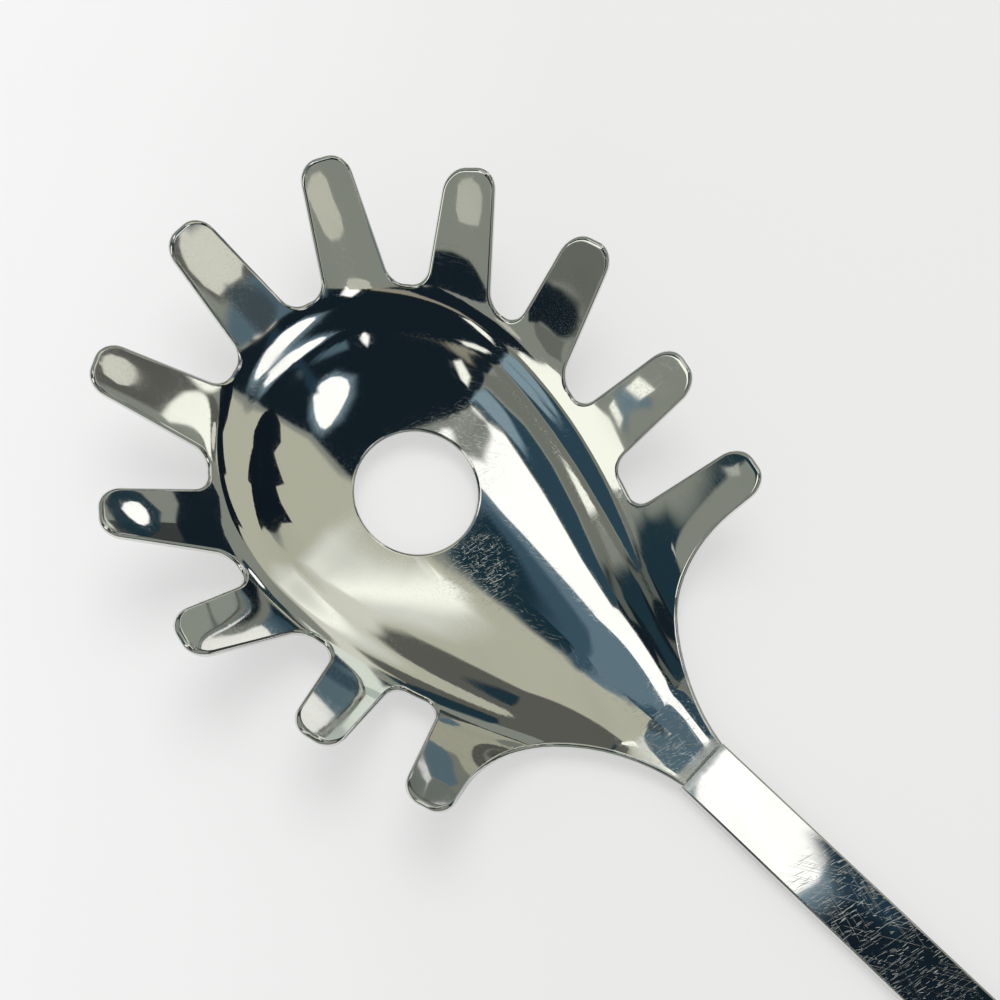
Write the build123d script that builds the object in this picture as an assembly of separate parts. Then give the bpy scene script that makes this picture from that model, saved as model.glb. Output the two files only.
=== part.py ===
from build123d import *
import math
import os

# Pasta server of pressed stainless steel, hollow side up, as it lies on a table.
# X runs from the front tooth to the handle, Y across it, Z up, in millimetres.
# The origin is the centre of the drain hole. The model is built with the table
# at height zero and is lowered to the origin when the pieces are written.

# Sheet and drain hole
sheet_thick = 1.5
hole_radius = 12.0

# Bowl in plan: a round front and two sides that draw in towards the neck
bowl_shift = 4.4
fold_radius = 29.0
flange_width = 7.7
fold_end_half = 4.0
fold_run = 98.0
flank_x = 46.0
flank_half = 22.0
front_overlap_angle = 10.0

# Bowl in height, on the upper face
head_pitch = 0.14
belly_x = 42.0
belly_drop_share = 0.55
dish_depth = 3.9
dish_end_depth = 0.4
wall_power = 3
flange_slope_share = 0.62
fold_blend = 0.5

# Teeth: front one first, then the five of one side; the other side mirrors them.
# Four stand on the round front, at angles from its middle, and two on the flank,
# at shares of its length. Lengths run from the rim of the bowl to the tip.
tooth_length = 22.3
tooth_length_shares = (1.0, 1.0, 0.906, 0.824, 0.817, 0.92)
tooth_lean_angles = (0.0, 27.2, 51.0, 75.5, 102.5, 105.5)
front_root_angles = (0.0, 31.7, 63.1, 93.5)
flank_root_shares = (0.351, 0.834)
tooth_root_depth = 8.0
tooth_tip_width = 9.6
tooth_taper_share = 0.168
tooth_round_share = 0.42
slot_corner_share = 0.52
tooth_bend_start = 5.0
tooth_bend_blend = 3.0
front_tooth_slope = 0.37
side_tooth_slope = 0.85
slope_power = 5

# Neck
joint_x = 76.0
neck_lift = 2.0
neck_flat_start = 64.0
flare_x = 47.25
flare_half = 32.5
flare_radius = 21.0
flare_lead_angle = 10.0
flare_turn_angle = 45.0
neck_radius = 43.0
flare_base_x = 34.0
flare_base_half = 22.0

# Handle strip
strip_thick = 3.0
strip_neck_width = 12.0
strip_end_width = 13.2
strip_length = 174.0
strip_edge_round = 0.5
seam_clearance = 0.05
tongue_width = 8.4
tongue_corner = 2.0
hang_hole_radius = 3.0
hang_hole_inset = 9.0
tongue_length = 13.0

# Spot weld through the neck and the tongue below it
weld_radius = 1.2
weld_inset = 9.0

# Cutting and meshing values
overrun = 4.0
grid_step = 2.5
on_the_rim = 0.01
fit_tolerance = 0.03
plan_reach = fold_radius + flange_width + tooth_length
tall = 2 * plan_reach


def ease(a, b, u):
    """Half a cosine wave from a to b while u goes from 0 to 1."""
    return b + (a - b) * (1 + math.cos(math.pi * u)) / 2


def hermite(u, run, start, start_slope, end, end_slope):
    """Cubic from start to end over the run, with both end slopes."""
    a = 2 * u**3 - 3 * u**2 + 1
    b = u**3 - 2 * u**2 + u
    c = 3 * u**2 - 2 * u**3
    d = u**3 - u**2
    return a * start + b * run * start_slope + c * end + d * run * end_slope


def soft_ramp(distance, blend):
    """Zero before the bend, one to one after it, round between."""
    return (distance + math.sqrt(distance**2 + blend**2)) / 2


neck_top = sheet_thick + neck_lift
strip_slope = (strip_thick - neck_top) / strip_length


def centre_height(x):
    """Upper face of the head along its centre line."""
    hole_top = sheet_thick + head_pitch * belly_x * belly_drop_share
    if x <= 0:
        return hole_top - head_pitch * x
    if x <= belly_x:
        return hermite(x / belly_x, belly_x, hole_top, -head_pitch, sheet_thick, 0)
    flat_height = neck_top + strip_slope * (neck_flat_start - joint_x)
    if x <= neck_flat_start:
        run = neck_flat_start - belly_x
        return hermite((x - belly_x) / run, run, sheet_thick, 0, flat_height, strip_slope)
    return neck_top + strip_slope * (x - joint_x)


def top_height(x, y):
    """Upper face of the pressed head over the whole plan."""
    from_centre = x + bowl_shift
    share = min(max(from_centre / fold_run, 0), 1)
    half = ease(fold_radius, fold_end_half, share)
    depth = ease(dish_depth, dish_end_depth, share)
    if from_centre <= 0:
        reach = math.hypot(from_centre, y)
        out = reach - fold_radius
        ratio = reach / fold_radius
        sideways = (abs(y) / reach) ** slope_power if reach > 0 else 1
    else:
        narrowing = (fold_radius - fold_end_half) * math.pi / (2 * fold_run) * math.sin(math.pi * share)
        out = (abs(y) - half) / math.hypot(1, narrowing)
        ratio = abs(y) / half
        sideways = 1
    wall = depth * ratio**wall_power
    flange = depth * (1 + flange_slope_share * (ratio - 1))
    folded = (wall + flange - math.sqrt((wall - flange) ** 2 + fold_blend**2)) / 2
    rise = front_tooth_slope + (side_tooth_slope - front_tooth_slope) * sideways
    bent = rise * soft_ramp(out - tooth_bend_start, tooth_bend_blend)
    return centre_height(x) + folded + bent


def bottom_height(x, y):
    """Lower face, one sheet thickness below the upper face, square to it."""
    step = grid_step / 4
    slope_x = (top_height(x + step, y) - top_height(x - step, y)) / (2 * step)
    slope_y = (top_height(x, y + step) - top_height(x, y - step)) / (2 * step)
    return top_height(x, y) - sheet_thick * math.sqrt(1 + slope_x**2 + slope_y**2)


def below(height):
    """Solid of everything below a height function, over the plan of the head."""
    front = -bowl_shift - plan_reach - 2 * overrun
    back = joint_x + 2 * overrun
    side = plan_reach + 2 * overrun
    count_x = round((back - front) / grid_step)
    count_y = round(2 * side / grid_step)
    rows = []
    for i in range(count_x + 1):
        x = front + (back - front) * i / count_x
        row = []
        for j in range(count_y + 1):
            y = -side + 2 * side * j / count_y
            row.append((x, y, height(x, y)))
        rows.append(row)
    face = Face.make_surface_from_array_of_points(rows, tol=fit_tolerance)
    return Solid.extrude(face, Vector(0, 0, -tall))


def flank_edge():
    """Arc from the end of the round front to the neck, on one side."""
    rim = fold_radius + flange_width
    turn = math.radians(front_overlap_angle)
    meet = Vector(-bowl_shift + rim * math.sin(turn), rim * math.cos(turn))
    return TangentArc(meet, Vector(flank_x, flank_half), tangent=(math.cos(turn), -math.sin(turn)))


def tooth_roots():
    """Where the middle lines of the teeth cross the rim of the bowl."""
    rim = fold_radius + flange_width
    roots = []
    for angle in front_root_angles:
        turn = math.radians(180 - angle)
        roots.append(Vector(-bowl_shift + rim * math.cos(turn), rim * math.sin(turn)))
    flank = flank_edge()
    for share in flank_root_shares:
        roots.append(flank @ share)
    return roots


def tooth_plan(root, lean, length):
    """One tapered tooth with a round end, pointing out of the bowl."""
    inner = -tooth_root_depth
    end = tooth_tip_width / 2
    start = end + tooth_taper_share * (length - inner) / 2
    blade = make_face(Polyline((inner, -start), (length, -end), (length, end), (inner, start), close=True))
    corners = blade.vertices().sort_by(Axis.X)[-2:]
    blade = fillet(corners, tooth_tip_width * tooth_round_share)
    return Pos(root.X, root.Y) * Rot(0, 0, 180 - lean) * blade


def bowl_plan():
    """Bowl with its flange, without teeth, from the round front to the flanks."""
    left = flank_edge()
    right = mirror(left, about=Plane.XZ)
    meet = left @ 0
    flank = left @ 1
    nose = (-bowl_shift - fold_radius - flange_width, 0)
    front = ThreePointArc((meet.X, -meet.Y), nose, (meet.X, meet.Y))
    return make_face([front, left, Line(flank, (flank.X, -flank.Y)), right.edges()[0]])


def neck_plan():
    """Neck with the long hollow flares that run into the last teeth."""
    centre_x = flare_x + flare_radius
    angles = (-flare_lead_angle, (flare_turn_angle - flare_lead_angle) / 2, flare_turn_angle)
    flare = []
    for angle in angles:
        turn = math.radians(angle)
        flare.append((centre_x - flare_radius * math.cos(turn), flare_half - flare_radius * math.sin(turn)))
    turn = math.radians(flare_turn_angle)
    bend_x, bend_half = flare[-1]
    far_x = bend_x + neck_radius * math.cos(turn)
    far_half = bend_half + neck_radius * math.sin(turn)
    neck = []
    for x in (bend_x, (bend_x + joint_x) / 2, joint_x):
        neck.append((x, far_half - math.sqrt(neck_radius**2 - (far_x - x) ** 2)))
    base = (flare_base_x, flare_base_half)
    side = [ThreePointArc(*flare), ThreePointArc(*neck), Line(flare[0], base)]
    outline = side + [mirror(edge, about=Plane.XZ).edges()[0] for edge in side]
    for x, half in (neck[-1], base):
        outline.append(Line((x, half), (x, -half)))
    return make_face(outline)


def head_plan():
    """Whole outline of the blank, seen from above, with rounded slots."""
    bowl = bowl_plan()
    plan = bowl + neck_plan()
    for root, lean, share in zip(tooth_roots(), tooth_lean_angles, tooth_length_shares):
        tooth = tooth_plan(root, lean, tooth_length * share)
        plan += tooth
        if lean > 0:
            plan += mirror(tooth, about=Plane.XZ)
    rim = bowl.faces()[0].outer_wire()
    corners = [corner for corner in plan.vertices() if rim.distance_to(corner) < on_the_rim]
    corners.sort(key=lambda corner: math.atan2(corner.Y, corner.X))
    narrowest = min(a.distance_to(b) for a, b in zip(corners, corners[1:]))
    return fillet(corners, slot_corner_share * narrowest)


hole_front = top_height(-hole_radius, 0)
hole_back = top_height(hole_radius, 0)
hole_tilt = math.degrees(math.atan2(hole_front - hole_back, 2 * hole_radius))
hole_middle = (hole_front + hole_back - sheet_thick) / 2
under_head = below(bottom_height)


def make_head():
    blank = extrude(head_plan(), amount=tall)
    sheet = blank & below(top_height)
    sheet = sheet - under_head
    return sheet - drain_bore() - weld_bore()


def drain_bore():
    """Round cutter of the drain hole, square to the sheet at the hole."""
    return Pos(0, 0, hole_middle) * Rot(0, hole_tilt, 0) * Cylinder(hole_radius, tall)


def weld_bore():
    """Space of the weld nugget, right through the neck and the tongue."""
    return Pos(joint_x - weld_inset, 0, 0) * Cylinder(weld_radius, tall)


def make_strip():
    """Flat handle strip with a thinner tongue that lies under the neck."""
    neck_half = strip_neck_width / 2
    end_half = strip_end_width / 2
    plan = make_face(
        Polyline(
            (0, -neck_half),
            (strip_length, -end_half),
            (strip_length, end_half),
            (0, neck_half),
            close=True,
        )
    )
    far_corners = plan.vertices().sort_by(Axis.X)[-2:]
    plan = fillet(far_corners, strip_end_width * tooth_round_share)
    bar = extrude(plan, amount=-strip_thick)
    rims = bar.faces().sort_by(Axis.Z)[-1].edges() + bar.faces().sort_by(Axis.Z)[0].edges()
    long_rims = [edge for edge in rims if edge.center().X > overrun / 4]
    bar = fillet(long_rims, strip_edge_round)
    bar -= Pos(strip_length - hang_hole_inset, 0, 0) * Cylinder(hang_hole_radius, tall)
    tilt = math.degrees(math.atan(-strip_slope))
    bar = Pos(joint_x + seam_clearance, 0, neck_top) * Rot(0, tilt, 0) * bar
    tongue_end = joint_x + strip_thick
    tongue_middle = tongue_end - (tongue_length + strip_thick) / 2
    tongue_plan = Pos(tongue_middle, 0) * Rectangle(tongue_length + strip_thick, tongue_width)
    front_corners = tongue_plan.vertices().sort_by(Axis.X)[:2]
    tongue_plan = fillet(front_corners, tongue_corner)
    tongue = extrude(tongue_plan, amount=neck_top) & under_head
    floor = Pos(joint_x, 0, neck_top - strip_thick) * Box(
        2 * tongue_length, strip_end_width, tall, align=(Align.CENTER, Align.CENTER, Align.MAX)
    )
    tongue = tongue - floor
    strip = bar + tongue
    return strip - weld_bore()


def make_weld():
    """Weld nugget that joins the neck and the tongue."""
    slab = Pos(joint_x - weld_inset, 0, neck_top - strip_thick) * Cylinder(
        weld_radius, tall, align=(Align.CENTER, Align.CENTER, Align.MIN)
    )
    return slab & below(top_height)


os.makedirs("parts", exist_ok=True)
pieces = {
    "server_head": make_head(),
    "handle_strip": make_strip(),
    "neck_spot_weld": make_weld(),
}
for name, piece in pieces.items():
    export_step(Pos(0, 0, -hole_middle) * piece, f"parts/{name}.step")
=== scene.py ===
import math

import bmesh
import bpy
from mathutils import Matrix, Vector


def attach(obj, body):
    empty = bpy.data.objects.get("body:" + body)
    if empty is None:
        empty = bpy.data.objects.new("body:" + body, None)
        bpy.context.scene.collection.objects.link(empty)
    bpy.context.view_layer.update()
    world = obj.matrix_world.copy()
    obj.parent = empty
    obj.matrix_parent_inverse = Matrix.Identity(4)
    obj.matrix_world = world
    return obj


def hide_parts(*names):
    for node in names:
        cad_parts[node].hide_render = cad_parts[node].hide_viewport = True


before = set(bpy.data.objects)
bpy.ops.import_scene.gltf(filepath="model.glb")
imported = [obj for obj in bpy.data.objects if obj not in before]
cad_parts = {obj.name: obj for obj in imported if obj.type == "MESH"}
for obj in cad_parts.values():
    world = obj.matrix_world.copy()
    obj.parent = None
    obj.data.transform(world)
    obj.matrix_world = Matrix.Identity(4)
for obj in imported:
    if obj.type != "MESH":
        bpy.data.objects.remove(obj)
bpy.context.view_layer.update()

MM = 0.001

# Height of the table in metres
table = -0.0041189

# Sizes in millimetres, the same as in the part's source
sheet_thick = 1.5
hole_radius = 12.0
bowl_shift = 4.4
fold_radius = 29.0
flange_width = 7.7
fold_end_half = 4.0
fold_run = 98.0
flank = Vector((46.0, 22.0))
front_overlap_angle = 10.0
head_pitch = 0.14
belly_x = 42.0
belly_drop_share = 0.55
dish_depth = 3.9
dish_end_depth = 0.4
wall_power = 3
flange_slope_share = 0.62
fold_blend = 0.5
tooth_length = 22.3
tooth_length_shares = (1.0, 1.0, 0.906, 0.824, 0.817, 0.92)
tooth_lean_angles = (0.0, 27.2, 51.0, 75.5, 102.5, 105.5)
front_root_angles = (0.0, 31.7, 63.1, 93.5)
flank_root_shares = (0.351, 0.834)
tooth_root_depth = 8.0
tooth_tip_width = 9.6
tooth_taper_share = 0.168
tooth_bend_start = 5.0
tooth_bend_blend = 3.0
front_tooth_slope = 0.37
side_tooth_slope = 0.85
slope_power = 5
joint_x = 76.0
neck_lift = 2.0
neck_flat_start = 64.0
flare_x = 47.25
flare_half = 32.5
flare_radius = 21.0
flare_lead_angle = 10.0
flare_turn_angle = 45.0
neck_radius = 43.0
strip_thick = 3.0
strip_length = 174.0

# Fillets, the tumbled edge of the blank and the weld's nugget, in millimetres
slot_setback = 2.75
tip_setback = 3.75
edge_round = 0.62
rim_margin = 0.12
end_spare = 2.0
weld_radius = 1.2
weld_x = 67.0
weld_proud = 0.03
weld_edge = 0.3

# Square net of cuts that lets the blank be pressed smoothly, in millimetres
cell = 0.8
net_low = (-64, -56)
net_high = (77, 56)
net_start_share = 0.37

# Distances at which points are merged or slivers dropped, in millimetres
seam_merge = 1e-4
cut_merge = 1e-5
sliver = 0.01

# Steps of the round stretches
fillet_steps = 8
flare_step_angle = 5
neck_steps = 8
hole_steps = 36
rim_steps = 4
weld_sides = 32
weld_edge_steps = 3


# Camera, found from the outline of the object in the picture
camera_data = bpy.data.cameras.new("camera")
camera_data.lens = 72
camera_data.sensor_width = 36
camera = bpy.data.objects.new("camera", camera_data)
camera.location = (0.066043, -0.088313, 0.374217)
camera.rotation_euler = [math.radians(turn) for turn in (16.1196, -4.5025, 43.5967)]
bpy.context.scene.collection.objects.link(camera)
bpy.context.scene.camera = camera


# Form of the pressed sheet

def ease(a, b, u):
    """Half a cosine wave from a to b while u goes from 0 to 1."""
    return b + (a - b) * (1 + math.cos(math.pi * u)) / 2


def hermite(u, run, start, start_slope, end, end_slope):
    """Cubic from start to end over the run, with both end slopes."""
    a = 2 * u**3 - 3 * u**2 + 1
    b = u**3 - 2 * u**2 + u
    c = 3 * u**2 - 2 * u**3
    d = u**3 - u**2
    return a * start + b * run * start_slope + c * end + d * run * end_slope


neck_top = sheet_thick + neck_lift
strip_slope = (strip_thick - neck_top) / strip_length


def centre_height(x):
    """Upper face of the head along its centre line."""
    hole_top = sheet_thick + head_pitch * belly_x * belly_drop_share
    if x <= 0:
        return hole_top - head_pitch * x
    if x <= belly_x:
        return hermite(x / belly_x, belly_x, hole_top, -head_pitch, sheet_thick, 0)
    flat_height = neck_top + strip_slope * (neck_flat_start - joint_x)
    if x <= neck_flat_start:
        run = neck_flat_start - belly_x
        return hermite((x - belly_x) / run, run, sheet_thick, 0, flat_height, strip_slope)
    return neck_top + strip_slope * (x - joint_x)


def top_height(x, y):
    """Upper face of the pressed head over the whole plan, above the table."""
    from_centre = x + bowl_shift
    share = min(max(from_centre / fold_run, 0), 1)
    half = ease(fold_radius, fold_end_half, share)
    depth = ease(dish_depth, dish_end_depth, share)
    if from_centre <= 0:
        reach = math.hypot(from_centre, y)
        out = reach - fold_radius
        ratio = reach / fold_radius
        sideways = (abs(y) / reach) ** slope_power if reach > 0 else 1
    else:
        narrowing = (fold_radius - fold_end_half) * math.pi / (2 * fold_run) * math.sin(math.pi * share)
        out = (abs(y) - half) / math.hypot(1, narrowing)
        ratio = abs(y) / half
        sideways = 1
    wall = depth * ratio**wall_power
    flange = depth * (1 + flange_slope_share * (ratio - 1))
    folded = (wall + flange - math.sqrt((wall - flange) ** 2 + fold_blend**2)) / 2
    rise = front_tooth_slope + (side_tooth_slope - front_tooth_slope) * sideways
    past = out - tooth_bend_start
    bent = rise * (past + math.sqrt(past**2 + tooth_bend_blend**2)) / 2
    return centre_height(x) + folded + bent


def sheet_normal(x, y):
    """Unit normal of the upper face."""
    step = 0.05
    slope_x = (top_height(x + step, y) - top_height(x - step, y)) / (2 * step)
    slope_y = (top_height(x, y + step) - top_height(x, y - step)) / (2 * step)
    return Vector((-slope_x, -slope_y, 1)).normalized()


def press(edit):
    """Forms a flat blank in millimetres into the head, in metres."""
    for vertex in edit.verts:
        x, y, through = vertex.co
        normal = sheet_normal(x, y)
        x += normal.x * sheet_thick / 2
        y += normal.y * sheet_thick / 2
        normal = sheet_normal(x, y)
        vertex.co = Vector((x, y, top_height(x, y))) + normal * through
        vertex.co = vertex.co * MM + Vector((0, 0, table))


# Outline of one half of the blank

rim = fold_radius + flange_width
bowl_centre = Vector((-bowl_shift, 0))
overlap = math.radians(front_overlap_angle)
meet = bowl_centre + rim * Vector((math.sin(overlap), math.cos(overlap)))
chord = flank - meet
inward = -Vector((math.sin(overlap), math.cos(overlap)))
flank_radius = chord.length_squared / (2 * chord.dot(inward))
flank_centre = meet + inward * flank_radius


def heading(turn):
    """Direction in the plan, turned from +X by radians."""
    return Vector((math.cos(turn), math.sin(turn)))


def on_flank(share):
    """Point of the flank arc, from the round front to the neck."""
    start = meet - flank_centre
    turn = math.atan2(flank.y - flank_centre.y, flank.x - flank_centre.x) - math.atan2(start.y, start.x)
    return flank_centre + Matrix.Rotation(turn * share, 2) @ start


def meets_rim(point, direction):
    """Where a line that comes from outside first meets the rim of the bowl."""
    for centre, radius in ((flank_centre, flank_radius), (bowl_centre, rim)):
        offset = point - centre
        along = offset.dot(direction)
        found = point - direction * (along + math.sqrt(along**2 - offset.length_squared + radius**2))
        if found.x > meet.x:
            break
    return found


def rim_between(a, b):
    """Middle of the rim between two points on it."""
    middle = (a + b) / 2
    centre, radius = (bowl_centre, rim) if middle.x < meet.x else (flank_centre, flank_radius)
    return centre + (middle - centre).normalized() * radius


def tooth_corners(root, lean, share):
    """Root and tip corners of a tooth: front root, front tip, back tip, back root."""
    outward = heading(math.radians(180 - lean))
    across = Vector((outward.y, -outward.x))
    length = tooth_length * share
    end = tooth_tip_width / 2
    start = end + tooth_taper_share * (length + tooth_root_depth) / 2
    corners = []
    for side in (-1, 1):
        tip = root + outward * length + across * side * end
        inner = root - outward * tooth_root_depth + across * side * start
        pair = [meets_rim(tip, (inner - tip).normalized()), tip]
        corners += pair if side < 0 else pair[::-1]
    return corners


def neck_side():
    """The flare at the back of the head and the hollow side of the neck, from head to handle."""
    flare_centre = Vector((flare_x + flare_radius, flare_half))
    points = []
    for angle in range(round(-flare_lead_angle), round(flare_turn_angle), flare_step_angle):
        points.append(flare_centre - flare_radius * heading(math.radians(angle)))
    start_turn = math.radians(flare_turn_angle)
    leave = heading(start_turn)
    neck_centre = flare_centre - flare_radius * leave + neck_radius * leave
    end_turn = math.acos((neck_centre.x - joint_x) / neck_radius)
    for step in range(neck_steps + 1):
        turn = start_turn + (end_turn - start_turn) * step / neck_steps
        points.append(neck_centre - neck_radius * heading(turn))
    return points


def half_blank(edit):
    """Face of the half of the blank on the +Y side, with its corners rounded."""
    roots = [bowl_centre + rim * heading(math.radians(180 - angle)) for angle in front_root_angles]
    roots += [on_flank(share) for share in flank_root_shares]
    outline = [Vector((-hole_radius, 0)), Vector((roots[0].x - tooth_length, 0))]
    slots, tips = [], []
    for root, lean, share in zip(roots, tooth_lean_angles, tooth_length_shares):
        front_root, front_tip, back_tip, back_root = tooth_corners(root, lean, share)
        if lean > 0:
            outline.append(rim_between(outline[-1], front_root))
            outline += [front_root, front_tip]
            slots.append(len(outline) - 2)
            tips.append(len(outline) - 1)
        outline += [back_tip, back_root]
        slots.append(len(outline) - 1)
        tips.append(len(outline) - 2)
    slots.pop()
    outline.pop()
    outline += neck_side()
    outline += [Vector((joint_x + end_spare, outline[-1].y)), Vector((joint_x + end_spare, 0))]
    outline += [hole_radius * heading(math.pi * step / hole_steps) for step in range(hole_steps)]
    corners = [edit.verts.new((point.x, point.y, 0)) for point in outline]
    edit.faces.new(corners)
    for places, setback in ((slots, slot_setback), (tips, tip_setback)):
        bmesh.ops.bevel(edit, geom=[corners[i] for i in places], offset=setback, offset_type="OFFSET",
                        segments=fillet_steps, profile=0.5, affect="VERTICES", material=-1,
                        clamp_overlap=False)


def everything(edit):
    """All points, edges and faces of a mesh that is being edited."""
    return edit.verts[:] + edit.edges[:] + edit.faces[:]


def round_rim(edit, faces):
    """Rolls the rim of one side of the blank over, in steps of a quarter circle."""
    for step in range(rim_steps):
        a = math.pi / 2 * step / rim_steps
        b = math.pi / 2 * (step + 1) / rim_steps
        bmesh.ops.inset_region(edit, faces=faces, thickness=edge_round * (math.cos(a) - math.cos(b)),
                               depth=edge_round * (math.sin(b) - math.sin(a)),
                               use_boundary=True, use_even_offset=True)
    bmesh.ops.inset_region(edit, faces=faces, thickness=rim_margin, use_boundary=True,
                           use_even_offset=True)


def trim_neck(edit):
    """Cuts the neck off square where the handle's face begins, and closes its end."""
    cut = bmesh.ops.bisect_plane(edit, geom=everything(edit), plane_co=(joint_x, 0, 0),
                                 plane_no=(1, 0, 0), clear_outer=True)["geom_cut"]
    bmesh.ops.contextual_create(edit, geom=[part for part in cut if isinstance(part, bmesh.types.BMEdge)])


def cut_into_cells(edit):
    """Cuts the blank along the square net."""
    for axis in (0, 1):
        normal = Vector((axis == 0, axis == 1, 0))
        count = math.ceil((net_high[axis] - net_low[axis]) / cell)
        for i in range(count):
            place = net_low[axis] + (i + net_start_share) * cell
            bmesh.ops.bisect_plane(edit, geom=everything(edit), dist=cut_merge,
                                   plane_co=normal * place, plane_no=normal)


def finish_piece(name, edit, smooth=True):
    """Puts the edited mesh on an object at the origin."""
    mesh = bpy.data.meshes.new(name)
    edit.to_mesh(mesh)
    edit.free()
    if smooth:
        mesh.shade_smooth()
    piece = bpy.data.objects.new(name, mesh)
    bpy.context.scene.collection.objects.link(piece)
    return piece


def make_head():
    """The head: half a flat blank, mirrored, thickened, rounded at its rim and pressed."""
    edit = bmesh.new()
    half_blank(edit)
    bmesh.ops.mirror(edit, geom=everything(edit), axis="Y", merge_dist=seam_merge)
    bmesh.ops.recalc_face_normals(edit, faces=edit.faces[:])
    if edit.faces[:][0].normal.z < 0:
        bmesh.ops.reverse_faces(edit, faces=edit.faces[:])
    bmesh.ops.translate(edit, vec=(0, 0, edge_round - sheet_thick), verts=edit.verts[:])
    lower = edit.faces[:]
    grown = bmesh.ops.extrude_face_region(edit, geom=lower, use_keep_orig=True)["geom"]
    upper = [part for part in grown if isinstance(part, bmesh.types.BMFace)]
    lifted = [part for part in grown if isinstance(part, bmesh.types.BMVert)]
    bmesh.ops.translate(edit, vec=(0, 0, sheet_thick - 2 * edge_round), verts=lifted)
    bmesh.ops.recalc_face_normals(edit, faces=edit.faces[:])
    round_rim(edit, upper)
    round_rim(edit, lower)
    trim_neck(edit)
    cut_into_cells(edit)
    bmesh.ops.dissolve_degenerate(edit, dist=sliver, edges=edit.edges[:])
    press(edit)
    bmesh.ops.triangulate(edit, faces=[face for face in edit.faces if len(face.verts) > 4])
    return finish_piece("server_head_pressed", edit)


def make_weld(owner):
    """The spot weld's nugget, a hair proud of the neck, with a turned edge."""
    low = min(vertex.co.z for vertex in owner.data.vertices)
    high = (centre_height(weld_x) + weld_proud) * MM + table
    edit = bmesh.new()
    bmesh.ops.create_cone(edit, cap_ends=True, segments=weld_sides, radius1=weld_radius * MM,
                          radius2=weld_radius * MM, depth=high - low)
    bmesh.ops.translate(edit, vec=(weld_x * MM, 0, (low + high) / 2), verts=edit.verts[:])
    top = high - MM * weld_proud
    ring = [edge for edge in edit.edges if min(corner.co.z for corner in edge.verts) > top]
    bmesh.ops.bevel(edit, geom=ring, offset=weld_edge * MM, segments=weld_edge_steps, profile=0.5,
                    affect="EDGES", material=-1)
    return finish_piece("neck_spot_weld_nugget", edit)


# Finishes

class Value:
    """One output of a finish's nodes. Arithmetic on it adds the nodes that work it out."""

    def __init__(self, finish, socket):
        self.finish = finish
        self.socket = socket

    def math(self, operation, *others):
        inputs = dict(enumerate((self,) + others))
        return self.finish.node("ShaderNodeMath", {"operation": operation}, inputs)

    def __add__(self, other):
        return self.math("ADD", other)

    __radd__ = __add__

    def __mul__(self, other):
        return self.math("MULTIPLY", other)

    __rmul__ = __mul__

    def __sub__(self, other):
        return self.math("SUBTRACT", other)

    def __rsub__(self, other):
        return self.math("MULTIPLY_ADD", -1, other)

    def at_most_one(self):
        return self.math("MINIMUM", 1.0)

    def above(self, low, high):
        """Nought below low, one above high, smooth between them."""
        settings = {"interpolation_type": "SMOOTHSTEP"}
        return self.finish.node("ShaderNodeMapRange", settings,
                                {"Value": self, "From Min": low, "From Max": high})


class Finish:
    """The look of a material, or of the world, built up from nodes."""

    def __init__(self, owner):
        owner.use_nodes = True
        self.owner = owner
        self.tree = owner.node_tree
        self.tree.nodes.clear()

    def node(self, kind, settings=None, inputs=None, output=0):
        """Any node: its type, its settings, then the values or links of its sockets."""
        made = self.tree.nodes.new(kind)
        for key, value in (settings or {}).items():
            setattr(made, key, value)
        for key, value in (inputs or {}).items():
            if isinstance(value, Value):
                self.tree.links.new(value.socket, made.inputs[key])
            else:
                made.inputs[key].default_value = value
        return Value(self, made.outputs[output])

    def place(self, turn=0.0, stretch=(1, 1, 1), shift=(0, 0, 0)):
        """Object coordinates in millimetres, turned about Z and then stretched."""
        seen = self.node("ShaderNodeTexCoord", output="Object")
        turned = self.node("ShaderNodeVectorRotate", {"rotation_type": "Z_AXIS"},
                           {"Vector": seen, "Angle": math.radians(turn)})
        size = [1 / MM / s for s in stretch]
        return self.node("ShaderNodeVectorMath", {"operation": "MULTIPLY_ADD"},
                         {0: turned, 1: size, 2: shift})

    def noise(self, place, scale, detail=2.0, roughness=0.5):
        inputs = {"Vector": place, "Scale": scale, "Detail": detail, "Roughness": roughness}
        return self.node("ShaderNodeTexNoise", None, inputs)

    def mix(self, amount, a, b):
        """Colour between a and b."""
        return self.node("ShaderNodeMix", {"data_type": "RGBA"}, {0: amount, 6: a, 7: b}, 2)

    def show(self, shader, output="ShaderNodeOutputMaterial"):
        """Ends the nodes with a shader, and gives back what they belong to."""
        end = self.tree.nodes.new(output)
        self.tree.links.new(shader.socket, end.inputs["Surface"])
        return self.owner

    def surface(self, inputs):
        return self.show(self.node("ShaderNodeBsdfPrincipled", None, inputs))


# Scratches: turn in degrees, length and width in millimetres, share of the face, shift of the pattern
hairlines = (
    (-30, 16, 0.1, 0.35, (3, 1, 7)),
    (-75, 11, 0.09, 0.2, (8, 5, 2)),
    (15, 12, 0.1, 0.15, (1, 12, 4)),
)
rub_marks = (
    (-78, 2.2, 0.16, 0.35, (2, 3, 5)),
    (-70, 3.2, 0.2, 0.25, (6, 2, 8)),
    (-50, 1.6, 0.16, 0.1, (9, 4, 1)),
)

# Noise levels between which a scratch of no share begins, and how far a full share lowers them
scratch_low = 0.8
scratch_high = 0.83
scratch_drop = 0.16

# Heights in the steel's face, in millimetres, and how much each mark dulls it
ripple_height = 0.016
mark_depth = 0.004
speck_depth = 0.003
mark_roughness = 0.42
speck_roughness = 0.3
band_roughness = 0.25

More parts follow.
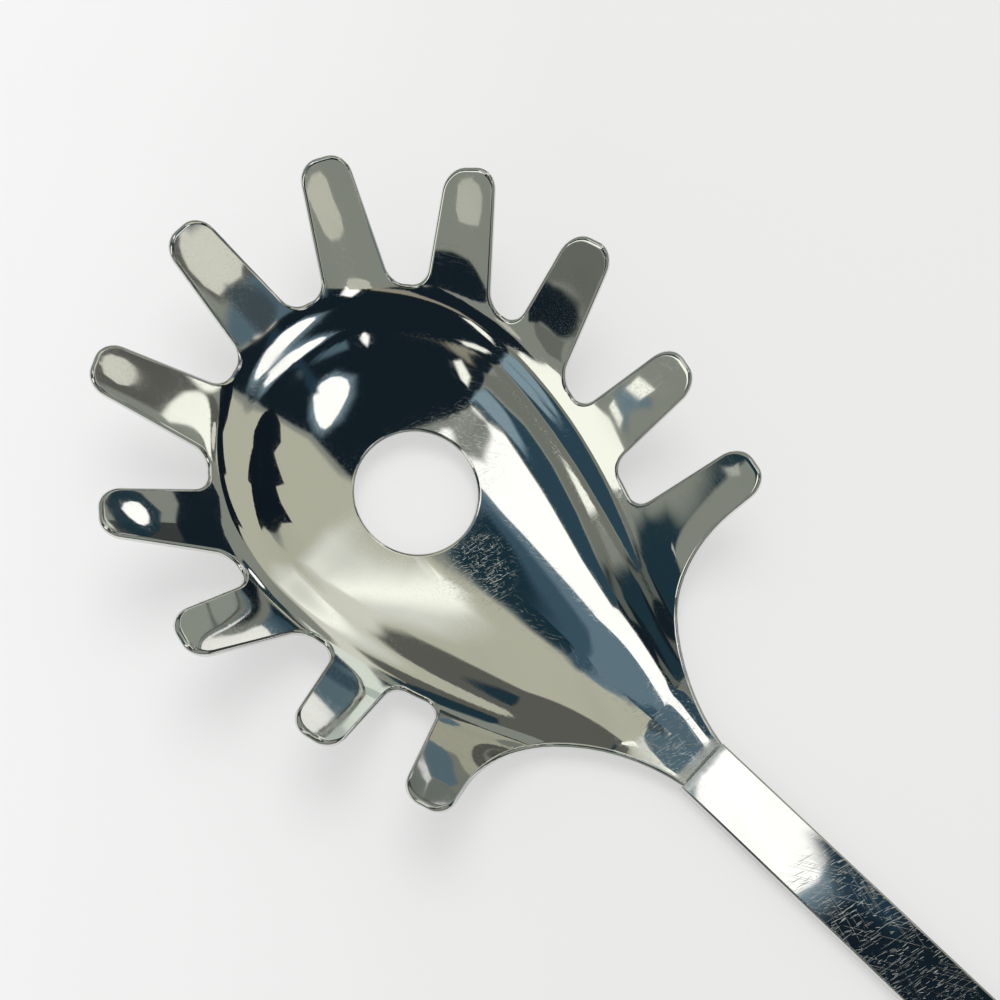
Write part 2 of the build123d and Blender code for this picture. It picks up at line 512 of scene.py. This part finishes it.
# Strength of the hairlines on clean steel, what rubbing adds to it, and the rubbing of each place
clean_hairlines = 0.06
rubbed_hairlines = 0.35
least_rubbing = 0.01
neck_rubbing = 0.4
strip_rubbing = 0.9
weld_rubbing = 0.6

# Colour of a mark, and the share of its colour that hazy steel keeps
mark_colour = (0.92, 0.92, 0.92, 1)
haze_colour_share = 0.95

# Distances from the hole between which the rubbed part of the strip begins, in millimetres
grip_start = 98
grip_full = 110

# Half width of the dull band in full and to its end, and how far its edge waves, in millimetres
band_half = 0.6
band_end = 2.6
band_wave = 1.2

# A stretch so long that height counts for nothing
flattened = (1, 1, 1e6)


def scratches(finish, rows):
    """Short straight scratches, each row in a direction of its own."""
    found = []
    for turn, length, width, share, shift in rows:
        mark = finish.noise(finish.place(turn, (length, width, width), shift), scale=1.0, detail=0.0)
        drop = scratch_drop * share
        found.append(mark.above(scratch_low - drop, scratch_high - drop))
    return sum(found[1:], found[0])


def spot(finish, x, y, inner, outer):
    """One inside a round patch of the face, fading to nought at its outer radius."""
    away = finish.place(0, flattened, (-x, -y, 0))
    reach = finish.node("ShaderNodeVectorMath", {"operation": "LENGTH"}, {0: away}, "Value")
    return 1 - reach.above(inner, outer)


def length_from(finish, start=0.0):
    """Distance along the part from a start, in millimetres."""
    return finish.node("ShaderNodeSeparateXYZ", None, {0: finish.place(shift=(-start, 0, 0))}, "X")


def joint_band(finish):
    """The narrow dull band across the joint of neck and strip, with a wavy edge."""
    wave = finish.noise(finish.place(), scale=0.5, detail=1.0) * band_wave
    away = length_from(finish, joint_x) + wave
    return 1 - away.math("ABSOLUTE").above(band_half, band_end)


def steel(name, colour, dull, haze_share, worn):
    """Mirror-polished stainless steel: hairlines, a breath of haze and rubbed places."""
    finish = Finish(bpy.data.materials.new(name))
    here = finish.place()
    ripple = finish.noise(here, scale=0.07, roughness=0.45)
    haze = finish.noise(finish.place(20, (3, 1, 1)), scale=0.12, detail=1.0).above(0.5, 0.8)
    fine = scratches(finish, hairlines)
    short = scratches(finish, rub_marks)
    rubbed = worn(finish)
    marks = (fine * (clean_hairlines + rubbed * rubbed_hairlines) + short * rubbed).at_most_one()
    specks = finish.noise(here, scale=2.4, detail=0.0).above(0.82, 0.85) * rubbed
    tint = finish.mix(haze, colour, [c * haze_colour_share for c in colour[:3]] + [1])
    tint = finish.mix((marks + specks).at_most_one(), tint, mark_colour)
    rough = dull + haze * haze_share + marks * mark_roughness + specks * speck_roughness
    rough = rough + joint_band(finish) * band_roughness
    height = ripple * ripple_height - marks * mark_depth - specks * speck_depth
    normal = finish.node("ShaderNodeBump", None, {"Strength": 1.0, "Distance": MM, "Height": height})
    return finish.surface({"Base Color": tint, "Metallic": 1.0, "Roughness": rough, "Normal": normal})


def worn_head(finish):
    """The head is rubbed beside the drain hole and, less so, along the neck."""
    beside_hole = spot(finish, x=19, y=-1.5, inner=2, outer=9)
    neck = spot(finish, x=68, y=0, inner=5, outer=16)
    return (beside_hole + neck * neck_rubbing + least_rubbing).at_most_one()


def worn_strip(finish):
    """The strip is clean by the neck and rubbed further along, where it is held."""
    return length_from(finish).above(grip_start, grip_full) * strip_rubbing + least_rubbing


def worn_weld(finish):
    """The weld is rubbed in patches."""
    return finish.noise(finish.place(), scale=2.0) * weld_rubbing


pressed_steel = steel("pressed_steel", colour=(0.76, 0.76, 0.745, 1), dull=0.02, haze_share=0.03,
                      worn=worn_head)
strip_steel = steel("strip_steel", colour=(0.78, 0.78, 0.77, 1), dull=0.03, haze_share=0.04,
                    worn=worn_strip)
weld_steel = steel("weld_steel", colour=(0.6, 0.6, 0.58, 1), dull=0.16, haze_share=0.1,
                   worn=worn_weld)


head = make_head()
nugget = make_weld(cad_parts["neck_spot_weld"])
for piece, node, finish, name in ((head, "server_head", pressed_steel, "pressed_steel"),
                                  (nugget, "neck_spot_weld", weld_steel, "weld_steel")):
    piece.data.materials.append(finish)
    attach(piece, "root")
    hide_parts(node)

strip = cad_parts["handle_strip"]
strip.data.materials.clear()
strip.data.materials.append(strip_steel)


# Cards that the steel mirrors

# Directions on the table that run to the right and upwards in the picture
right = Vector((0.7242, 0.6896, 0))
up = Vector((-0.6896, 0.7242, 0))

card_cuts = 3


def toward(sideways, upward):
    """Direction that leans from straight up by degrees, as the picture sees it."""
    lean = math.hypot(sideways, upward)
    flat = (right * sideways + up * upward) / lean if lean > 0 else right
    return flat * math.sin(math.radians(lean)) + Vector((0, 0, math.cos(math.radians(lean))))


def glow(name, colour):
    """Light of one colour that fades out with the fade attribute of the piece."""
    finish = Finish(bpy.data.materials.new(name))
    shine = finish.node("ShaderNodeEmission", None, {"Color": (*colour, 1), "Strength": 1.0})
    clear = finish.node("ShaderNodeBsdfTransparent")
    fade = finish.node("ShaderNodeAttribute", {"attribute_name": "fade"}, None, "Fac").above(0, 1)
    return finish.show(finish.node("ShaderNodeMixShader", None, {0: fade, 1: clear, 2: shine}))


def only_mirrored(made):
    """Leaves a stage piece to the mirror images in the steel alone."""
    made.visible_camera = False
    made.visible_diffuse = False
    made.visible_shadow = False
    made.visible_transmission = False


def card(name, colour, distance, soft, corners):
    """A curved studio card that only the polished steel mirrors.

    It is given by its corners' directions, and fades out over the soft degrees inside its edge.
    """
    edit = bmesh.new()
    fade = edit.verts.layers.float.new("fade")
    whole = edit.faces.new([edit.verts.new(toward(*corner)) for corner in corners])
    bmesh.ops.triangulate(edit, faces=[whole])
    inner = edit.faces[:]
    bmesh.ops.inset_region(edit, faces=inner, thickness=math.radians(soft), use_boundary=True,
                           use_even_offset=True)
    for vertex in {corner for face in inner for corner in face.verts}:
        vertex[fade] = 1
    bmesh.ops.triangulate(edit, faces=edit.faces[:])
    bmesh.ops.subdivide_edges(edit, edges=edit.edges[:], cuts=card_cuts, use_grid_fill=True)
    for vertex in edit.verts:
        vertex.co = vertex.co.normalized() * distance
    made = finish_piece(name, edit, smooth=False)
    made.data.materials.append(glow(name, colour))
    only_mirrored(made)


# Colours of the room as red, green and blue, from bright to dark
white = (1.35, 1.35, 1.3)
cream = (1.2, 1.22, 1.08)
mint = (0.82, 0.88, 0.79)
ivory = (0.8, 0.82, 0.74)
pale = (0.78, 0.78, 0.68)
bone = (0.6, 0.6, 0.5)
sage = (0.5, 0.57, 0.52)
stone = (0.54, 0.55, 0.47)
beige = (0.54, 0.54, 0.43)
putty = (0.5, 0.52, 0.46)
haze_blue = (0.26, 0.37, 0.43)
grey = (0.3, 0.33, 0.28)
sand = (0.33, 0.31, 0.24)
halo_blue = (0.2, 0.3, 0.36)
room = (0.27, 0.29, 0.25)
slate = (0.14, 0.22, 0.27)
olive = (0.2, 0.21, 0.18)
ash = (0.17, 0.19, 0.17)
smoke = (0.16, 0.17, 0.15)
steel_blue = (0.1, 0.165, 0.205)
pine = (0.12, 0.14, 0.12)
moss = (0.12, 0.125, 0.108)
dim = (0.12, 0.12, 0.11)
deep_blue = (0.05, 0.1, 0.14)
lead = (0.06, 0.085, 0.1)
ink_blue = (0.03, 0.07, 0.1)
charcoal = (0.05, 0.055, 0.055)
dusk_blue = (0.018, 0.045, 0.07)
teal = (0.015, 0.04, 0.055)
night_blue = (0.012, 0.035, 0.05)
navy = (0.008, 0.016, 0.024)
black_blue = (0.006, 0.012, 0.018)

# Degrees over which the crispest cards fade out
crisp = 0.15

# Name, colour, distance in metres, soft degrees, and the directions of the corners
cards = (
    ("ceiling", beige, 1.5, 1.0, (
        (3, 10), (18, 6.5), (27, 1.5), (40, -2.9), (47, 2), (45, 14), (39, 24), (36, 36), (35, 48),
        (14, 50), (0, 42), (-8, 30), (-3, 20))),
    ("dark_wall", navy, 1.49, 0.8, (
        (8, 0), (15.7, 7.7), (18, 6.5), (26.7, 1.5), (40, -2.9), (44, -10), (36, -15), (38, -23), (28, -26),
        (16, -27), (4, -36), (-2, -41), (-10, -41), (-18, -38), (-24, -35), (-27, -31), (-22, -27),
        (-10, -20), (-2, -9))),
    ("cream_arc", sand, 1.47, 1.5, (
        (17, -25), (12.5, -24.5), (3, -23.7), (-3.8, -19.8), (-6.3, -19.2), (-2, -27), (8, -30),
        (18, -28))),
    ("cream_bit", cream, 1.46, 1.0, (
        (0.7, -19.9), (-2.3, -21.5), (-3.5, -16), (-1.2, -11.6), (0.4, -13.8))),
    ("window", white, 1.4, 0.4, (
        (6.7, -0.6), (8.3, 0.5), (9.3, 1.7), (9.9, 2.9), (9.1, 3.7), (7.9, 4.3), (6.4, 4.8), (4.6, 5.4),
        (2.4, 6.1), (-1.5, 8.8), (-5.2, 11.4), (-10.1, 14.4), (-14, 16), (-22, 10), (-12, 3), (-8, 2),
        (-4, -1), (-3, -5), (-2.3, -6.5), (-2, -8.6), (0.3, -7.6), (1.5, -6))),
    ("window_frame", slate, 1.41, 0.5, (
        (8.3, 0.5), (8.7, 2), (6, 3), (2, 4.5), (-5, 8), (-10.7, 11), (-16, 15), (-13, 23), (-4, 25.5),
        (-0.5, 22.6), (5, 16.2), (8, 12.8), (9.6, 11), (10.7, 9.6), (11.7, 8.5), (12.3, 7.8), (12.9, 7.2),
        (12.8, 6.6), (11.9, 5.4), (10.2, 2.8))),
    ("frame_mid", deep_blue, 1.4, 1.2, (
        (10.3, 3), (8.4, 4.6), (6.4, 6.4), (3.6, 10), (0, 16), (-1, 22), (3, 19.5), (6, 16), (9, 12.5),
        (10.6, 10.6), (12, 8.8), (13.4, 7.3), (13, 6.2), (12, 5))),
    ("frame_shade", night_blue, 1.395, 0.9, (
        (10.5, 4.2), (9.8, 5.6), (9.2, 7.4), (7.6, 9.6), (6, 13), (6.6, 14.6), (8.6, 12.6), (10.4, 10.7),
        (11.8, 9), (13.2, 7.6), (13.1, 6.4), (12, 5))),
    ("blue_blind", ink_blue, 1.37, 0.6, (
        (1.2, -7), (-2, -8.6), (-2.3, -6.5), (-3, -5), (-4, -1), (-8, 2), (-12, 3), (-11, -4), (-12, -8),
        (-11.5, -11.5), (-9.5, -14), (-6, -14.5))),
    ("blind_glow", haze_blue, 1.36, 1.2, (
        (1.5, -6.8), (-1.8, -8.8), (-4.2, -7.6), (-6.2, -9.6), (-7, -12.6), (-6.6, -15), (-2.5, -12.2))),
    ("wall_edge", olive, 1.37, 1.0, (
        (-6, -14.5), (-9.5, -14), (-11.5, -11.5), (-12, -8), (-11, -4), (-18, -6), (-18.5, -10),
        (-15.5, -14), (-11.5, -18.5), (-7, -19))),
    ("left_card", navy, 1.38, 2, (
        (-21, 11), (-11, 3), (-9, -3), (-13, -7), (-20, -8), (-32, 3))),
    ("slim_glow", ivory, 1.36, 3.0, (
        (12.4, 8.6), (12.6, 13), (20, 24), (31, 36), (36, 30), (25, 16), (15, 8))),
    ("slim_lamp", cream, 1.34, 1.6, (
        (12.4, 9.2), (14, 12.7), (31, 32), (33.5, 30), (22.2, 16.8), (14.5, 8.2))),
    ("far_card", moss, 1.31, 1.6, (
        (24, 29.5), (20, 31.2), (16, 33.2), (11, 35.4), (6, 38), (2, 42), (3, 50), (14, 54), (30, 50),
        (34, 42), (31, 34), (27, 30))),
    ("left_dark", black_blue, 1.3, 0.4, (
        (44, -9), (40, -5), (37, -1), (35.8, 3), (38, 5.5), (36.5, 8), (34, 11.5), (37.2, 13), (36, 16),
        (33, 19.6), (37, 21.5), (40, 27), (43, 24), (43.5, 14), (43.6, 4), (45, -3))),
    ("shelf", teal, 1.29, 1.2, (
        (27.7, 39.1), (24, 36), (22, 37), (24, 46), (33, 59), (37.5, 59.5), (36, 50))),
    ("side_strip", pale, 1.28, 1.2, (
        (26, 28), (29, 33), (33, 46), (40, 60), (44, 58), (38, 44), (34, 31), (31.7, 29))),
    ("right_window", cream, 1.27, 0.8, (
        (-16.5, -9.5), (-30, -15.5), (-49, -22.5), (-54, -28), (-52, -33), (-44, -37), (-34, -36),
        (-16, -24), (-10.5, -18.5), (-14.5, -14))),
    ("right_dark", teal, 1.26, 1.5, (
        (-13, -4), (-20, -9), (-30, -14), (-49, -21.8), (-60, -24.5), (-63.5, -22.5), (-62.8, -17),
        (-66, -8), (-60, 0), (-27, 5))),
    ("right_grey", pine, 1.25, 1.2, (
        (-16, -8), (-10, -2.3), (-18, 5.3), (-24, 5.2), (-17, -3))),
    ("blob_g", white, 1.2, 0.8, (
        (23.1, -22.5), (22.6, -27), (20, -27.5), (18.5, -25), (19.7, -19.5))),
    ("lamp_halo", halo_blue, 0.36, 2.4, (
        (28, -3), (28.5, -8), (24, -11.5), (18.5, -9), (17, -3), (17, 2), (21, 4), (24, 3), (27, 0))),
    ("round_lamp", white, 0.35, 0.35, (
        (26.7, -4.2), (26.9, -6.2), (26, -7.9), (24.3, -8.9), (22.2, -8.8), (20.4, -7.6), (19.3, -5.6),
        (18.8, -3), (18.9, 0), (19.6, 1.8), (20.8, 2.3), (22.4, 1.7), (24, 0.3), (25.4, -1.7))),
    ("patch_f", pale, 0.6, 0.2, (
        (36, -12), (34.8, -12.6), (33.8, -14), (33.3, -15.4), (33.5, -16.8), (34.4, -17.5), (35.5, -17),
        (37.2, -15.2), (38.4, -13.6), (38.3, -12.5), (37.4, -11.9))),
    ("root_f", lead, 0.149, 1.0, (
        (25.9, -4), (27.5, -4.2), (29.6, -5.6), (30.5, -8), (28.6, -10.2), (26, -9.6), (25.5, -7))),
    ("brown_f", dim, 0.61, 0.8, (
        (32.5, -14), (35, -11.2), (38, -10.8), (39.4, -13), (38, -16.5), (35.5, -19), (32.5, -18))),
    ("patch_e", pale, 0.35, 0.25, (
        (41.6, 11), (40.8, 9.4), (40.3, 7.6), (40.3, 6.2), (41, 5.2), (42, 5.4), (42.8, 6.9), (43.3, 8.8),
        (43.4, 10.4), (42.8, 11.5))),
    ("brown_e", dim, 0.36, 1.0, (
        (39, 3), (43, -0.5), (45.5, 1.5), (46.8, 6), (47.3, 12), (42, 14), (39.5, 10))),
    ("blob_e", cream, 0.345, 0.8, (
        (40, -1), (43.7, 1.6), (45, 4.5), (47.3, 10.7), (49, 12), (49, 6), (46, 0), (41, -3))),
    ("patch_g", bone, 0.35, 0.3, (
        (19.8, -20.9), (17.6, -21.1), (15.7, -21.9), (15.1, -22.9), (15.6, -24), (15.6, -25.4),
        (16.5, -25.9), (18.5, -25.4), (20.1, -24.5), (20.7, -23.4), (20.3, -22))),
    ("patch_h", stone, 0.35, 0.3, (
        (-20.9, -33.6), (-22.8, -33.1), (-25, -33), (-26.9, -33.9), (-27.4, -35.2), (-26.4, -37.2),
        (-24.8, -38.7), (-21.8, -38.3), (-18.9, -37.5), (-18.8, -36))),
    ("dark_h", navy, 0.36, 0.6, (
        (-25, -46.5), (-19.6, -42.1), (-14, -39.9), (-9, -38.4), (-3, -36), (4, -32), (9, -38), (4, -48),
        (-16, -53))),
    ("lamp_d", white, 0.35, 0.3, (
        (47.7, 50.2), (48.1, 48), (49, 46.4), (50.2, 45.8), (51.1, 47.2), (51.5, 49.4), (51.4, 51.8),
        (50.7, 53.3), (49.6, 53.4), (48.5, 52))),
    ("ring_d", teal, 0.36, 0.5, (
        (46, 50), (47, 44), (50.5, 42), (53.2, 46), (52.9, 53), (51, 57), (47, 56))),
    ("dark_d", navy, 0.36, 0.5, (
        (52.5, 34), (54.4, 40), (54.6, 47.5), (55.6, 54), (60, 54), (61, 40), (55, 28), (49, 20), (45, 22),
        (50, 30))),
    ("pale_b", mint, 0.35, 0.5, (
        (38, 50), (44, 50), (52, 70), (51, 78), (46.2, 78), (45.9, 74))),
    ("grey_b", sage, 0.34, crisp, (
        (46, 73.4), (49.2, 73.2), (49, 74.6), (46.6, 75.9), (45.9, 75.5))),
    ("grey_c", grey, 0.35, crisp, (
        (52, 64), (59, 63), (59.5, 68), (56, 71.5), (53, 70))),
    ("line_c", dim, 0.345, crisp, (
        (55.1, 64), (55.5, 64), (55.4, 71), (55, 71))),
    ("low_a", ash, 0.15, 0.5, (
        (44, 74.5), (49, 72.5), (52.5, 72.9), (53.5, 76), (50, 80.5), (44, 82))),
    ("high_a", ash, 0.35, 0.5, (
        (37, 68), (44, 68), (45.5, 74), (45.9, 79), (40, 88), (34, 86))),
    ("patch_j", cream, 0.35, crisp, (
        (-50.2, -31), (-50.8, -31.8), (-49.4, -33.8), (-48.8, -33.3))),
    ("slate_j", slate, 0.351, 0.4, (
        (-50.8, -30.8), (-52, -30), (-50, -34.8), (-49, -34.2))),
    ("patch_k", putty, 0.35, crisp, (
        (-56.3, -23.2), (-56.5, -21.3), (-59.7, -18.1), (-57.7, -21.6))),
    ("dark_i", navy, 0.35, 0.4, (
        (-36, -43.2), (-39.6, -42.7), (-40.6, -42.1), (-41.5, -41.4), (-43.5, -40.5), (-44, -45),
        (-38, -47))),
    ("grey_i", smoke, 0.36, 0.4, (
        (-37, -38), (-41, -38), (-43, -41), (-38, -44))),
    ("neck_shade", steel_blue, 0.15, 1.0, (
        (19, -10), (20, -16.5), (25, -19.5), (29, -17), (31.4, -13.3), (35, -10.7), (40.5, -8), (44, -2),
        (42, 3.5), (36, 1), (29.5, -3.5), (24.5, -7))),
    ("strip_glow", dusk_blue, 0.345, 1.3, (
        (24.8, -4.6), (27.4, -4.4), (30.6, -7.4), (32, -10.5), (30.4, -12.3), (26.6, -9))),
    ("root_e", cream, 0.148, 0.6, (
        (35, 4.5), (36.2, 3.4), (38.5, 4.2), (39.3, 8), (39, 12), (38, 15.5), (36.2, 15), (35.4, 11),
        (34.8, 7))),
)

for row in cards:
    card(*row)


# Horizon and table

horizon_radius = 1.75
horizon_top_radius = 1.7
horizon_height = 0.42
horizon_sides = 64
table_half = 3.0
table_light = (0.475, 0.475, 0.475, 1)
# Painted shade: the colour the table darkens to on the right
table_painted_shade = (0.385, 0.385, 0.38, 1)
table_roughness = 0.6
# Painted light: the table's own glow, which lifts its shadows and lights the steel from below
table_painted_glow = 0.42

# Distances to the right between which painted shade darkens the table, in millimetres
shade_start = -110
shade_end = 60
cloud_share = 0.15


def make_horizon():
    """A dark band all round the table, low down, that the steel mirrors."""
    edit = bmesh.new()
    fade = edit.verts.layers.float.new("fade")
    bmesh.ops.create_cone(edit, cap_ends=False, segments=horizon_sides, radius1=horizon_radius,
                          radius2=horizon_top_radius, depth=horizon_height)
    bmesh.ops.translate(edit, vec=(0, 0, horizon_height / 2), verts=edit.verts[:])
    for vertex in edit.verts:
        vertex[fade] = 1
    band = finish_piece("horizon_band", edit)
    band.data.materials.append(glow("horizon_band", charcoal))
    only_mirrored(band)


def make_table():
    """The pale table, with painted shade that darkens it a little towards the right of the picture, and a
    painted glow that lifts its shadows.
    """
    edit = bmesh.new()
    bmesh.ops.create_grid(edit, x_segments=1, y_segments=1, size=table_half)
    bmesh.ops.translate(edit, vec=(0, 0, table), verts=edit.verts[:])
    top = finish_piece("table_top", edit)
    finish = Finish(bpy.data.materials.new("pale_table"))
    here = finish.place()
    across = finish.node("ShaderNodeVectorMath", {"operation": "DOT_PRODUCT"}, {0: here, 1: right}, "Value")
    # Painted shade, darker towards the right of the picture, with clouds in it
    shade = across.above(shade_start, shade_end) + finish.noise(here, scale=0.02) * cloud_share
    colour = finish.mix(shade, table_light, table_painted_shade)
    # The emission is painted light, a glow of the table's own
    top.data.materials.append(finish.surface({
        "Base Color": colour, "Roughness": table_roughness,
        "Emission Color": (1, 1, 1, 1), "Emission Strength": table_painted_glow}))


make_horizon()
make_table()


# World and lamp

world_strength = 0.75
lamp_side = 0.6
lamp_energy = 5.0
lamp_place = up * 0.42 - right * 0.05 + Vector((0, 0, 1.1))


def make_world():
    """Plain light all round, and the darker room that the steel mirrors."""
    world = bpy.data.worlds.new("studio")
    bpy.context.scene.world = world
    studio = Finish(world)
    mirrored = studio.node("ShaderNodeLightPath", output="Is Glossy Ray")
    light = studio.node("ShaderNodeBackground", None, {"Color": (1, 1, 1, 1), "Strength": world_strength})
    walls = studio.node("ShaderNodeBackground", None, {"Color": (*room, 1), "Strength": 1.0})
    both = studio.node("ShaderNodeMixShader", None, {0: mirrored, 1: light, 2: walls})
    studio.show(both, "ShaderNodeOutputWorld")


def make_lamp():
    """One soft lamp above the table, which the steel doesn't mirror."""
    lamp_data = bpy.data.lights.new("soft_lamp", "AREA")
    lamp_data.shape = "RECTANGLE"
    lamp_data.size = lamp_side
    lamp_data.size_y = lamp_side
    lamp_data.energy = lamp_energy
    lamp = bpy.data.objects.new("soft_lamp", lamp_data)
    lamp.location = lamp_place
    lamp.rotation_euler = (-lamp.location).to_track_quat("-Z", "Y").to_euler()
    lamp.visible_glossy = False
    bpy.context.scene.collection.objects.link(lamp)


make_world()
make_lamp()

bpy.context.scene.view_settings.view_transform = "Standard"
